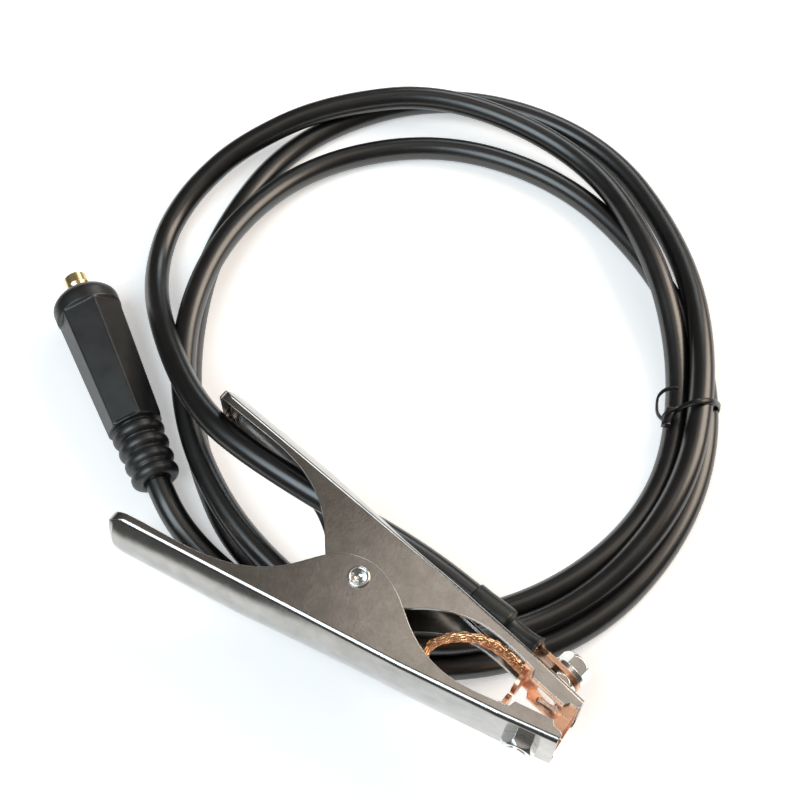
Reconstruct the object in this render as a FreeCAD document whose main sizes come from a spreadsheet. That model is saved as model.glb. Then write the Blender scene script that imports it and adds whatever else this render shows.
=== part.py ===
import FreeCAD, Part
import math
import os

from FreeCAD import Placement, Rotation, Vector

# Work-return clamp for arc welding, with its cable and its twist-lock cable plug.
#
# Frame: millimetres. The origin is the middle of the clamp, on the axis of its pivot. +X runs
# along the clamp to the jaws, +Y from the lower lever to the upper one (the one with the cable)
# and +Z is up. The clamp lies on its side on the coiled cable, which lies on the ground.

DRIVING_SIZES = (
    ("plate", 1.4, "sheet steel of both levers"),
    ("upper_width", 23.6, "upper lever, over its side plates"),
    ("side_gap", 0.2, "between the side plates of the two levers"),
    ("handle_end", -79.5, "X of the handle tips"),
    ("handle_fold", 28.8, "Y of the fold at the handle tips"),
    ("pad_start", 59.0, "X where the back turns flat and steeper"),
    ("pad_fold", 11.8, "Y of the fold there"),
    ("jaw_end", 78.3, "X of the jaw ends"),
    ("jaw_fold", 8.15, "Y of the fold at the jaw ends"),
    ("handle_bulge", 5.2, "rise of the rounded back over the fold, on the handle"),
    ("tip_round", 7.0, "plan radius at the corners of the handle tips"),
    ("fold_radius", 1.8, "outer radius of the folds between side plates and back"),
    ("rivet_radius", 3.0, "pivot rivet"),
    ("rivet_dish", 2.4, "radius of the mouth of the dish in each end of the rivet"),
    ("rivet_dish_floor", 1.0, "radius of the floor of the dish"),
    ("rivet_dish_depth", 1.8, "depth of the dish"),
    ("rivet_head", 3.6, "radius of the rolled heads"),
    ("rivet_head_height", 0.8, "height of the rolled heads"),
    ("pivot_play", 0.05, "radial play of the lower lever on the rivet"),
    ("spacer_radius", 4.0, "spacer tube on the rivet"),
    ("spring_wire", 2.0, "diameter of the spring wire"),
    ("spring_radius", 5.3, "mean radius of the spring coil"),
    ("spring_pitch", 2.12, "rise of the spring for each turn"),
    ("spring_leg", 38.0, "length of each spring leg"),
    ("copper", 1.5, "sheet copper of the jaw inserts"),
    ("insert_gap", 0.05, "between a jaw insert and its lever"),
    ("bite_gap", 0.15, "half of the gap between the closed inserts"),
    ("tab_start", 57.2, "X of the rear face of the insert tabs"),
    ("bolt_radius", 3.0, "M6 bolts of the jaws"),
    ("bolt_clearance", 0.2, "radial clearance of the bolts in plates"),
    ("head_radius", 4.4, "low round heads of the bolts"),
    ("head_bevel", 0.8, "how much narrower the free side of a head is"),
    ("head_height", 1.6, "height of the bolt heads"),
    ("nut_flats", 10.0, "across the flats of the nuts"),
    ("nut_face", 4.75, "radius of the free face of a nut, inside its chamfer"),
    ("inner_nut_height", 3.6, "nut between the upper jaw and the lug"),
    ("outer_nut_height", 4.4, "nut over the lug"),
    ("lower_nut_height", 3.9, "nut on the lower jaw"),
    ("washer_radius", 5.6, "outer radius of the spring washer"),
    ("washer_height", 1.6, "thickness of the spring washer"),
    ("upper_bolt_x", 68.0, "X of the upper bolt at the back of the jaw"),
    ("lower_bolt_x", 68.0, "X of the lower bolt at the back of the jaw"),
    ("lug_plate", 1.5, "thickness of the cable lug's palm"),
    ("lug_width", 11.0, "width of the palm"),
    ("barrel_radius", 2.7, "outer radius of the lug's barrel"),
    ("barrel_bore", 2.1, "radius of the bore of the barrel"),
    ("barrel_start", 45.0, "X of the cable end of the barrel"),
    ("barrel_end", 57.0, "X of the palm end of the barrel"),
    ("sleeve_start", 30.5, "X of the cable end of the heat-shrink sleeve"),
    ("sleeve_end", 56.8, "X of the lug end of the sleeve"),
    ("sleeve_radius", 5.2, "sleeve over the cable"),
    ("sleeve_neck", 3.15, "sleeve over the barrel"),
    ("sleeve_mouth", 3.9, "sleeve at its flared lug end"),
    ("sleeve_shoulder", 0.9, "length of the step down to the barrel"),
    ("sleeve_flare", 4.0, "length of the flare at the lug end"),
    ("cable_radius", 4.6, "outer radius of the cable"),
    ("core_radius", 2.2, "bunched copper of the cable inside the plug"),
    ("ground", -32.0, "Z of the ground"),
    ("coil_height", 17.4, "height of the coiled cable, two layers"),
    ("plug_length", 85.0, "rubber body of the plug"),
    ("plug_radius", 12.5, "largest radius of the plug"),
    ("plug_waist", 10.5, "radius where the body meets the ribs"),
    ("plug_shoulder", 11.2, "radius between the two bevels at the front"),
    ("plug_nose", 7.8, "radius of the front face"),
    ("plug_bevel", 3.0, "length of each bevel at the front"),
    ("rib_pitch", 5.8, "spacing of the strain-relief ribs"),
    ("rib_length", 5.2, "length of each rib"),
    ("rib_round", 2.3, "radius of the round edges of each rib"),
    ("rib_small", 8.7, "radius of the rib at the tail"),
    ("rib_step", 0.3, "how much each further rib is larger"),
    ("rib_core", 8.0, "radius between the ribs"),
    ("flat_depth", 1.5, "depth of the six flats of the grip"),
    ("flat_width", 13.0, "width of the cutter of each flat"),
    ("entry_depth", 8.0, "cable inside the plug's tail"),
    ("pin_radius", 4.35, "brass pin at its tip"),
    ("pin_neck", 3.4, "brass pin where it leaves the body"),
    ("pin_shank", 5.5, "brass pin inside the body"),
    ("pin_reach", 8.0, "pin in front of the body"),
    ("screw_radius", 2.5, "grub screw that clamps the core"),
    ("tie_width", 2.4, "width of the cable tie"),
    ("tie_plate", 0.9, "thickness of the cable tie"),
)

doc = FreeCAD.newDocument("work_return_clamp")
sheet = doc.addObject("Spreadsheet::Sheet", "sizes")
for line, (alias, value, meaning) in enumerate(DRIVING_SIZES, start=1):
    sheet.set(f"A{line}", meaning)
    sheet.set(f"B{line}", str(value))
    sheet.setAlias(f"B{line}", alias)
doc.recompute()

nodes = []


def size(alias):
    """A number from the sheet."""
    return float(sheet.get(alias))


def bound(kind, label, expressions, placement=None):
    """An object of the document whose properties follow the sheet."""
    item = doc.addObject(kind, label)
    item.Label = label
    for name, expression in expressions.items():
        item.setExpression(name, expression)
    if placement is not None:
        item.Placement = placement
    return item


def cylinder(label, radius, height, placement):
    return bound("Part::Cylinder", label, {"Radius": radius, "Height": height}, placement)


def cone(label, radius_low, radius_high, height, placement):
    values = {"Radius1": radius_low, "Radius2": radius_high, "Height": height}
    return bound("Part::Cone", label, values, placement)


def fused(label, items):
    joined = doc.addObject("Part::MultiFuse", label)
    joined.Label = label
    joined.Shapes = items
    return joined


def cut(label, base, tool):
    result = doc.addObject("Part::Cut", label)
    result.Label = label
    result.Base = base
    result.Tool = tool
    return result


def common(label, items):
    result = doc.addObject("Part::MultiCommon", label)
    result.Label = label
    result.Shapes = items
    return result


def solid_feature(label, shape, placement=None):
    """A sub-part that is built with Part's own functions."""
    item = doc.addObject("Part::Feature", label)
    item.Label = label
    item.Shape = shape
    if placement is not None:
        item.Placement = placement
    return item


def node(item):
    """Marks an object of the document as a sub-part."""
    nodes.append(item)
    return item


def prism(wire_edges, bottom, top):
    """Upright prism over a closed outline in XY."""
    face = Part.Face(Part.Wire(Part.__sortEdges__(wire_edges)))
    face.translate(Vector(0, 0, bottom))
    return face.extrude(Vector(0, 0, top - bottom))


def polyline(points):
    """Straight edges from point to point, in XY."""
    places = [Vector(x, y, 0) for x, y in points]
    return [Part.makeLine(a, b) for a, b in zip(places, places[1:])]


def smooth_curve(points):
    """One smooth edge through points."""
    curve = Part.BSplineCurve()
    curve.interpolate([Vector(*point) for point in points])
    return curve.toShape()


# ---------------------------------------------------------------- levers

PLATE = size("plate")
UPPER_HALF = size("upper_width") / 2
LOWER_HALF = UPPER_HALF + size("side_gap") + PLATE
FLAT = 0.05  # rise of the back where it is flat

# (X, rise of the back over the fold, drop of the fold where the handle's tip is rounded)
BACK_STATIONS = (
    (size("handle_end"), 0.8, 1.6),
    (-79.0, 2.0, 0.7),
    (-78.0, 3.4, 0.2),
    (-76.0, 4.8, 0.0),
    (-73.0, size("handle_bulge"), 0.0),
    (-30.0, size("handle_bulge"), 0.0),
    (8.0, 3.3, 0.0),
    (27.0, 2.4, 0.0),
    (57.0, FLAT, 0.0),
    (size("pad_start"), FLAT, 0.0),
    (size("jaw_end"), FLAT, 0.0),
)

# Free edge of the upper lever's side plates, from the handle over the pivot boss to the jaw
PLATE_CURVE = (
    (-76.6, 26.15), (-62.6, 24.3), (-41.0, 21.1), (-28.9, 16.0), (-20.0, 8.5), (-9.4, -3.3),
    (1.3, -6.4), (14.1, -1.9), (23.4, 4.6), (38.8, 9.9), (51.3, 9.1), (60.8, 7.1),
)
PLATE_JAW = ((60.8, 7.1), (61.6, 4.95), (73.9, 3.05), (75.1, 4.5), (77.5, 4.8), (78.3, 5.4))


def fold_height(x):
    """Y of the fold between a side plate and the back."""
    pad_x, pad_y = size("pad_start"), size("pad_fold")
    if x < pad_x:
        start_x, start_y = size("handle_end"), size("handle_fold")
        return start_y + (pad_y - start_y) * (x - start_x) / (pad_x - start_x)
    return pad_y + (size("jaw_fold") - pad_y) * (x - pad_x) / (size("jaw_end") - pad_x)


CROWN_POWER = 1.6  # of the inside; 1 gives a half ellipse, 2 a parabola with sharp folds


def upright_section(curves, low=-15.0):
    """Closed section in YZ: curves from one side to the other, closed by straight sides below them."""
    start, end = curves[0].StartPoint, curves[-1].EndPoint
    corners = [start, Vector(start.x, low, start.z), Vector(end.x, low, end.z), end]
    sides = [Part.makeLine(a, b) for a, b in zip(corners, corners[1:])]
    return Part.Wire(Part.__sortEdges__([curve.toShape() for curve in curves] + sides))


def inner_section(x, half_width, crest, rise):
    """Inside of a lever: a rounded back with tight folds."""
    crown = []
    for degrees in range(-90, 91, 15):
        turn = math.radians(degrees)
        height = crest - rise + rise * abs(math.cos(turn)) ** CROWN_POWER
        crown.append(Vector(x, height, half_width * math.sin(turn)))
    curve = Part.BSplineCurve()
    curve.interpolate(crown)
    return upright_section([curve])


def outer_section(x, half_width, crest, rise):
    """Outside of a lever: a parabola between two round folds that it meets without a kink."""
    radius = size("fold_radius")
    lean = 0.0
    for _ in range(20):
        reach = half_width - radius * (1 - math.sin(lean))
        arch = max(rise - radius * math.cos(lean) / 2, FLAT)
        lean = math.atan(2 * arch / reach)
    centre = Vector(x, crest - arch - radius * math.cos(lean), half_width - radius)

    def fold_point(turn, side):
        across = centre.z + radius * math.sin(turn)
        return Vector(x, centre.y + radius * math.cos(turn), side * across)

    crown = [Vector(x, crest - arch * (step / 4) ** 2, step / 4 * reach) for step in range(-4, 5)]
    slope = Vector(0, 2 * arch / reach, 0)
    curve = Part.BSplineCurve()
    curve.interpolate(crown, InitialTangent=Vector(0, 0, 1) + slope, FinalTangent=Vector(0, 0, 1) - slope)
    middle = (lean + math.pi / 2) / 2
    low_fold, high_fold = (
        Part.Arc(*[fold_point(turn, side) for turn in turns])
        for side, turns in ((-1, (math.pi / 2, middle, lean)), (1, (lean, middle, math.pi / 2))))
    return upright_section([low_fold, curve, high_fold])


TIP_MARGIN = 0.02  # how far the block that rounds the tips is wider, so that no faces coincide


def lever_blank(half_width, inset):
    """Solid between the sides and the back, moved in by the inset, with rounded tip corners."""
    make_section = inner_section if inset else outer_section
    sections = []
    for x, rise, drop in BACK_STATIONS:
        crest = fold_height(x) - drop + rise - inset
        run_out = 1.0 if inset and x == size("jaw_end") else 0.0
        sections.append(make_section(x + run_out, half_width - inset, crest, max(rise - inset, FLAT)))
    blank = Part.makeLoft(sections, True, True)
    start = size("handle_end") + inset
    block_half = half_width - inset + TIP_MARGIN
    block = Part.makeBox(200, 100, 2 * block_half, Vector(start, -50, -block_half))
    tip_edges = [edge for edge in block.Edges
                 if abs(edge.BoundBox.XMax - start) < 1e-6 and edge.BoundBox.YLength > 50]
    return blank.common(block.makeFillet(size("tip_round") - inset, tip_edges))


def lever_outline():
    """Side view of the upper lever: everything on the back's side of the free edge."""
    tip = Part.Arc(Vector(size("handle_end"), 29.2, 0), Vector(-78.7, 27.0, 0),
                   Vector(-76.6, 26.15, 0)).toShape()
    edge = smooth_curve([(x, y, 0) for x, y in PLATE_CURVE])
    jaw = polyline(PLATE_JAW)
    above = polyline((PLATE_JAW[-1], (size("jaw_end"), 60.0), (size("handle_end"), 60.0),
                      (size("handle_end"), 29.2)))
    return prism([tip, edge] + jaw + above, -LOWER_HALF - 1, LOWER_HALF + 1)


def lever_shell(half_width):
    """Folded sheet channel in the place of the upper lever, without holes."""
    shell = lever_blank(half_width, 0.0).cut(lever_blank(half_width, PLATE))
    return shell.common(lever_outline())


def jaw_normal():
    """Outward direction of the back of the upper jaw."""
    run = size("jaw_end") - size("pad_start")
    drop = size("pad_fold") - size("jaw_fold")
    return Vector(drop, run, 0).normalize()


def jaw_place(side, x, depth):
    """Placement with +Z along the jaw's outward normal, at a depth over the back (side is +1 or -1)."""
    normal = jaw_normal()
    base = Vector(x, fold_height(x) + FLAT, 0) + normal * depth
    turned = Vector(normal.x, side * normal.y, 0)
    return Placement(Vector(base.x, side * base.y, 0), Rotation(Vector(0, 0, 1), turned))


def bolt_hole(side, x):
    """Tool for the bolt hole in a jaw."""
    tool = Part.makeCylinder(size("bolt_radius") + size("bolt_clearance"), 12, Vector(0, 0, -8))
    tool.Placement = jaw_place(side, x, 0)
    return tool


def slot_tool(x_start, x_end, half_width):
    """Round-ended slot through the back, along Y."""
    length = x_end - x_start - 2 * half_width
    tool = Part.makeBox(length, 60, 2 * half_width, Vector(x_start + half_width, 0, -half_width))
    for x in (x_start + half_width, x_end - half_width):
        tool = tool.fuse(Part.makeCylinder(half_width, 60, Vector(x, 0, 0), Vector(0, 1, 0)))
    return tool


MIRROR_Y = (Vector(0, 0, 0), Vector(0, 1, 0))

WIDE_SLOT = (13.0, 49.0, 9.4)     # room for the sleeve: X from, X to, half width
NARROW_SLOT = (-20.0, 22.0, 5.6)  # room for the cable


def make_upper_lever():
    shape = lever_shell(UPPER_HALF)
    shape = shape.cut(slot_tool(*WIDE_SLOT).fuse(slot_tool(*NARROW_SLOT)))
    shape = shape.cut(Part.makeCylinder(size("rivet_radius"), 60, Vector(0, 0, -30)))
    shape = shape.cut(bolt_hole(1, size("upper_bolt_x")))
    node(solid_feature("upper_lever", shape))


def make_lower_lever():
    shape = lever_shell(LOWER_HALF).mirror(*MIRROR_Y)
    hole = size("rivet_radius") + size("pivot_play")
    shape = shape.cut(Part.makeCylinder(hole, 60, Vector(0, 0, -30)))
    shape = shape.cut(bolt_hole(-1, size("lower_bolt_x")))
    node(solid_feature("lower_lever", shape))


# ---------------------------------------------------------------- pivot


LEVER_WIDTH = "(sizes.upper_width + 2 * sizes.side_gap + 2 * sizes.plate)"
INNER_WIDTH = "(sizes.upper_width - 2 * sizes.plate)"


def upright(z):
    """Placement on the pivot's axis."""
    return Placement(Vector(0, 0, z), Rotation())


def make_pivot():
    """Rivet with a low head and a dish at each end, and the spacer tube between the side plates."""
    head, dish = size("rivet_head_height"), size("rivet_dish_depth")
    shaft = cylinder("rivet_shaft", "sizes.rivet_radius", LEVER_WIDTH, upright(-LOWER_HALF))
    low_head = cylinder("rivet_low_head", "sizes.rivet_head", "sizes.rivet_head_height",
                        upright(-LOWER_HALF - head))
    top_head = cylinder("rivet_top_head", "sizes.rivet_head", "sizes.rivet_head_height",
                        upright(LOWER_HALF))
    low_dish = cone("rivet_low_dish", "sizes.rivet_dish", "sizes.rivet_dish_floor",
                    "sizes.rivet_dish_depth", upright(-LOWER_HALF - head))
    top_dish = cone("rivet_top_dish", "sizes.rivet_dish_floor", "sizes.rivet_dish",
                    "sizes.rivet_dish_depth", upright(LOWER_HALF + head - dish))
    blank = fused("rivet_blank", [shaft, low_head, top_head])
    node(cut("pivot_rivet", blank, fused("rivet_dishes", [low_dish, top_dish])))

    inner_half = UPPER_HALF - PLATE
    tube = cylinder("spacer_outside", "sizes.spacer_radius", INNER_WIDTH, upright(-inner_half))
    bore = cylinder("spacer_bore", "sizes.rivet_radius", INNER_WIDTH, upright(-inner_half))
    node(cut("pivot_spacer", tube, bore))


SPRING_RISE = 23.5  # degrees between each spring leg and the clamp's middle plane
SPRING_TURNS = 6.5  # with legs that point straight back


def make_spring():
    """Torsion spring: one wire, two straight legs tangent to the coil."""
    radius, pitch, leg = size("spring_radius"), size("spring_pitch"), size("spring_leg")
    turns = SPRING_TURNS - 2 * SPRING_RISE / 360
    helix = Part.makeHelix(pitch, pitch * turns, radius, 0, True)
    start_angle = math.radians(90 - SPRING_RISE)
    helix.rotate(Vector(0, 0, 0), Vector(0, 0, 1), math.degrees(start_angle))
    helix.translate(Vector(0, 0, -pitch * turns / 2))
    first, last = helix.Edges[0], helix.Edges[-1]
    start_way = first.tangentAt(first.FirstParameter)
    end_way = last.tangentAt(last.LastParameter)
    start = first.valueAt(first.FirstParameter)
    end = last.valueAt(last.LastParameter)
    path = Part.Wire([Part.makeLine(start - start_way * leg, start)] + helix.Edges
                     + [Part.makeLine(end, end + end_way * leg)])
    ring = Part.Wire(Part.makeCircle(size("spring_wire") / 2, start - start_way * leg, start_way))
    shape = path.makePipeShell([ring], True, True)
    node(solid_feature("torsion_spring", shape))


# ---------------------------------------------------------------- jaw inserts

# Free edge of the upper insert's flanges, from its rear to the biting tip
INSERT_EDGE = ((57.2, 7.2), (60.6, 6.9), (61.5, 4.6), (73.5, 2.6), (75.2, 0.0), (77.8, 0.0))


def insert_block(half_width, depth):
    """Prism under the back of the upper jaw, its top moved down by a depth."""
    tilt = jaw_normal().y
    end = INSERT_EDGE[-1][0]
    start = INSERT_EDGE[0][0]
    top = [(end, fold_height(end) - depth / tilt), (size("pad_start"), size("pad_fold") - depth / tilt),
           (start, fold_height(start) - depth)]
    low = [(x, max(y, size("bite_gap"))) for x, y in INSERT_EDGE]
    return prism(polyline(low + top + [low[0]]), -half_width, half_width)


TAB_HALF = 4.6   # half width of the tab and radius of its round end
TAB_MIDDLE = 5.0  # Y of the middle of the round end


def insert_tab(x):
    """Cross tab at the rear of the insert, with a round end."""
    top = fold_height(x) - PLATE - size("insert_gap") - 0.3
    thick = size("copper")
    stem = Part.makeBox(thick, top - TAB_MIDDLE, 2 * TAB_HALF, Vector(x, TAB_MIDDLE, -TAB_HALF))
    end = Part.makeCylinder(TAB_HALF, thick, Vector(x, TAB_MIDDLE, 0), Vector(1, 0, 0))
    return stem.fuse(end)


def make_insert(label, side, lever_half, bolt_x):
    """Copper channel inside a jaw."""
    half = lever_half - PLATE - size("insert_gap")
    depth = PLATE + size("insert_gap")
    outside = insert_block(half, depth)
    copper = size("copper")
    inside = insert_block(half - copper, depth + copper)
    inside = inside.fuse(inside.translated(Vector(0, -6, 0)))
    inside = inside.fuse(inside.translated(Vector(2, 0, 0))).fuse(inside.translated(Vector(-2, 0.4, 0)))
    shape = outside.cut(inside)
    shape = shape.fuse(insert_tab(size("tab_start"))).removeSplitter()
    if side < 0:
        shape = shape.mirror(*MIRROR_Y)
    shape = shape.cut(bolt_hole(side, bolt_x))
    flange_slot = Part.makeBox(7.5, 1.6, 30, Vector(64.6, side * 6.0 - 0.8, -15))
    node(solid_feature(label, shape.cut(flange_slot)))


# ---------------------------------------------------------------- jaw bolts and nuts


def make_nut(label, side, x, depth, height):
    """Hexagon nut on a jaw, chamfered on its free side; its height is an alias of the sheet."""
    place = jaw_place(side, x, depth)
    hexagon = bound("Part::Prism", f"{label}_hexagon",
                    {"Circumradius": "sizes.nut_flats / sqrt(3)", "Height": f"sizes.{height}"}, place)
    hexagon.Polygon = 6
    ball = bound("Part::Sphere", f"{label}_ball",
                 {"Radius": f"sqrt(sizes.{height} ^ 2 + sizes.nut_face ^ 2)"}, place)
    thread = cylinder(f"{label}_thread", "sizes.bolt_radius", f"sizes.{height}", place)
    node(cut(label, common(f"{label}_body", [hexagon, ball]), thread))


def make_bolt(label, side, x, tip_depth):
    """Bolt whose low round head bears on the inside of the insert."""
    seat = PLATE + size("insert_gap") + size("copper")
    head = cone(f"{label}_head", "sizes.head_radius - sizes.head_bevel", "sizes.head_radius",
                "sizes.head_height", jaw_place(side, x, -seat - size("head_height")))
    shank = bound("Part::Cylinder", f"{label}_shank", {"Radius": "sizes.bolt_radius"},
                  jaw_place(side, x, -seat))
    shank.Height = seat + tip_depth
    node(fused(label, [head, shank]))


def make_washer(label, side, x, depth):
    place = jaw_place(side, x, depth)
    disc = cylinder(f"{label}_disc", "sizes.washer_radius", "sizes.washer_height", place)
    bore = cylinder(f"{label}_bore", "sizes.bolt_radius + sizes.bolt_clearance", "sizes.washer_height",
                    place)
    node(cut(label, disc, bore))


BOLT_TIP = 0.2  # how far the bolts stand out of their outer nuts


def make_fasteners():
    """Upper jaw: bolt, nut, lug, spring washer and nut. Lower jaw: bolt and nut."""
    upper, lower = size("upper_bolt_x"), size("lower_bolt_x")
    washer = size("inner_nut_height") + size("lug_plate")
    outer = washer + size("washer_height")
    make_bolt("upper_jaw_bolt", 1, upper, outer + size("outer_nut_height") + BOLT_TIP)
    make_nut("upper_inner_nut", 1, upper, 0.0, "inner_nut_height")
    make_washer("upper_spring_washer", 1, upper, washer)
    make_nut("upper_outer_nut", 1, upper, outer, "outer_nut_height")
    make_bolt("lower_jaw_bolt", -1, lower, size("lower_nut_height") + BOLT_TIP)
    make_nut("lower_jaw_nut", -1, lower, 0.0, "lower_nut_height")


# ---------------------------------------------------------------- cable lug and sleeve

BARREL_Y = 19.7      # Y of the barrel's axis at the sleeve's cable end
BARREL_SLOPE = -0.0926


def barrel_point(x):
    """Point on the axis of the lug's barrel."""
    return Vector(x, BARREL_Y + BARREL_SLOPE * (x - 31.0), 0)


def barrel_place(x):
    """Placement on the barrel's axis, with +Z towards the palm."""
    return Placement(barrel_point(x), Rotation(Vector(0, 0, 1), Vector(1, BARREL_SLOPE, 0)))


PALM_BACK = 8.0  # from the bolt to the barrel's end of the palm


def make_lug():
    """Crimped barrel that flattens into a palm with a round end."""
    up = jaw_normal()
    along = Vector(up.y, -up.x, 0)
    half, thick = size("lug_width") / 2, size("lug_plate")
    side = Vector(0, 0, half)
    centre = jaw_place(1, size("upper_bolt_x"), size("inner_nut_height")).Base
    neck = centre - along * PALM_BACK
    disc = Part.makeCylinder(half, thick, centre, up)
    strip = Part.Face(Part.makePolygon(
        [neck + side, centre + side, centre - side, neck - side, neck + side])).extrude(up * thick)
    palm_end = Part.makePolygon(
        [neck + side, neck - side, neck - side + up * thick, neck + side + up * thick, neck + side])

    start, end = barrel_point(size("barrel_start")), barrel_point(size("barrel_end"))
    length = (end - start).Length
    mouth = Part.Wire(Part.makeCircle(size("barrel_radius"), end, end - start))
    flare = Part.makeLoft([mouth, palm_end], True, False)
    barrel = Part.makeCylinder(size("barrel_radius"), length, start, end - start)
    bore_length = length - 0.5
    shape = barrel.fuse([flare, strip, disc]).removeSplitter()
    shape = shape.cut(Part.makeCylinder(size("barrel_bore"), bore_length, start, end - start))
    hole = size("bolt_radius") + size("bolt_clearance")
    shape = shape.cut(Part.makeCylinder(hole, thick + 4, centre - up * 2, up))
    node(solid_feature("cable_lug", shape))

    core = bound("Part::Cylinder", "lug_core", {"Radius": "sizes.barrel_bore"},
                 barrel_place(size("barrel_start")))
    core.Height = bore_length
    node(core)


def make_sleeve():
    """Heat-shrink sleeve, wide over the cable, tight over the barrel and flared at the lug."""
    scale = math.sqrt(1 + BARREL_SLOPE ** 2)
    start, step, end = size("sleeve_start"), size("barrel_start"), size("sleeve_end")
    flare_x = end - size("sleeve_flare") / scale
    wide = bound("Part::Cylinder", "sleeve_wide", {"Radius": "sizes.sleeve_radius"}, barrel_place(start))
    wide.Height = (step - start) * scale
    shoulder = cone("sleeve_shoulder_cone", "sizes.sleeve_radius", "sizes.sleeve_neck",
                    "sizes.sleeve_shoulder", barrel_place(step))
    tight = bound("Part::Cylinder", "sleeve_tight", {"Radius": "sizes.sleeve_neck"}, barrel_place(step))
    tight.Height = (flare_x - step) * scale
    flare = cone("sleeve_flare_cone", "sizes.sleeve_neck", "sizes.sleeve_mouth", "sizes.sleeve_flare",
                 barrel_place(flare_x))
    outside = fused("sleeve_outside", [wide, shoulder, tight, flare])
    cable_room = bound("Part::Cylinder", "sleeve_cable_room", {"Radius": "sizes.cable_radius"},
                       barrel_place(start - 2))
    cable_room.Height = (step - start + 2) * scale
    barrel_room = bound("Part::Cylinder", "sleeve_barrel_room", {"Radius": "sizes.barrel_radius"},
                        barrel_place(step - 1))
    barrel_room.Height = (end - step + 3) * scale
    node(cut("heat_shrink_sleeve", outside, fused("sleeve_inside", [cable_room, barrel_room])))


# ---------------------------------------------------------------- cords


def rounded_path(points, share=0.45):
    """Straight runs joined by tangent arcs, each arc as large as its two runs allow."""
    places = [Vector(*point) for point in points]
    edges = []
    radii = []
    position = places[0]
    for before, corner, after in zip(places, places[1:], places[2:]):
        back = (before - corner).normalize()
        ahead = (after - corner).normalize()
        half_turn = (math.pi - back.getAngle(ahead)) / 2
        reach = share * min((before - corner).Length, (after - corner).Length)
        radius = reach / math.tan(half_turn)
        radii.append(radius)
        arc_start = corner + back * reach
        arc_end = corner + ahead * reach
        middle_way = (back + ahead).normalize()
        centre = corner + middle_way * (radius / math.cos(half_turn))
        arc_middle = centre - middle_way * radius
        edges.append(Part.LineSegment(position, arc_start).toShape())
        edges.append(Part.Arc(arc_start, arc_middle, arc_end).toShape())
        position = arc_end
    edges.append(Part.LineSegment(position, places[-1]).toShape())
    return Part.Wire(edges), radii


def make_cord(label, points, radius):
    """Round tube along a rounded path."""
    path, radii = rounded_path(points)
    way = Vector(*points[1]) - Vector(*points[0])
    ring = Part.Wire(Part.makeCircle(radius, Vector(*points[0]), way))
    shape = path.makePipeShell([ring], True, False)
    expected = math.pi * radius ** 2 * path.Length
    print(f"{label}: length {path.Length:.1f}, smallest radius {min(radii):.1f}, "
          f"volume ratio {shape.Volume / expected:.4f}")
    node(solid_feature(label, shape))


LAY = size("ground") + size("cable_radius")  # Z of the axis of cable that lies on the ground

# From the sleeve through the handle, down beside the coil and up on to it
LEAD_ROUTE = (
    (45.0, 18.4, 0.0), (31.0, 19.7, 0.0), (16.0, 21.1, 0.0), (0.0, 21.3, 0.0), (-16.0, 20.4, 0.0),
    (-32.0, 19.6, -0.1), (-48.0, 19.3, -0.4), (-63.0, 19.7, -1.0), (-78.0, 21.4, -2.3),
    (-93.0, 26.6, -4.8), (-107.0, 34.3, -8.6), (-120.5, 43.2, -13.4), (-133.5, 53.0, -19.0),
    (-145.0, 64.0, -24.0), (-154.0, 76.5, -26.6), (-160.0, 90.5, -26.4), (-161.7, 109.5, -23.4),
    (-157.5, 134.2, -19.8), (-149.0, 150.0, -18.4),
)

# From the coil along the ground and up to the plug
PLUG_ROUTE = (
    (-32.5, -13.9, LAY), (-43.0, -13.6, LAY), (-54.0, -12.8, -27.3), (-65.0, -11.0, -26.4),
    (-75.2, -8.1, -24.7), (-84.2, -3.8, -22.7), (-95.4, 2.72, -22.18),
)

COIL_CENTRE = Vector(-43.0, 97.0, 0)


def clock_point(degrees, radius):
    """Point of the coil, its angle measured clockwise from -X."""
    turn = math.radians(degrees)
    return COIL_CENTRE + Vector(-radius * math.cos(turn), radius * math.sin(turn), 0)


# (clock angle, radius): outside of the coil between the two cable ends, on either side
COIL_FAR_SIDE = (
    (22, 124.0), (30, 125.5), (60, 132.6), (90, 130.0), (120, 114.6), (150, 110.3), (180, 117.3),
    (210, 125.3), (240, 124.6), (266, 116.5),
)
COIL_NEAR_SIDE = ((266, 104.3), (285, 98.5), (300, 94.4), (330, 91.9), (360, 100.0), (382, 104.0))
COIL_INSIDE = (
    (0, 86.0), (30, 94.5), (60, 96.8), (90, 94.7), (120, 91.4), (150, 90.9), (180, 96.9),
    (210, 98.8), (240, 101.9), (270, 93.3), (300, 84.3), (330, 81.5),
)


def make_coil():
    """Outer shape of the coiled cable, with a step where each end of it leaves."""
    far = [clock_point(*place) for place in COIL_FAR_SIDE]
    near = [clock_point(*place) for place in COIL_NEAR_SIDE]
    outline = [smooth_curve(far), Part.makeLine(far[-1], near[0]), smooth_curve(near),
               Part.makeLine(near[-1], far[0])]
    inside = Part.BSplineCurve()
    inside.interpolate([clock_point(*place) for place in COIL_INSIDE], PeriodicFlag=True)
    height = size("coil_height")
    ring = prism(outline, 0, height).cut(prism([inside.toShape()], -1, height + 1))
    node(solid_feature("cable_coil", ring, Placement(Vector(0, 0, size("ground")), Rotation())))


TIE_CLOCK = 159.0          # clock angle of the cable tie
TIE_SPAN = (91.6, 113.6)   # radii that it reaches over


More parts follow.
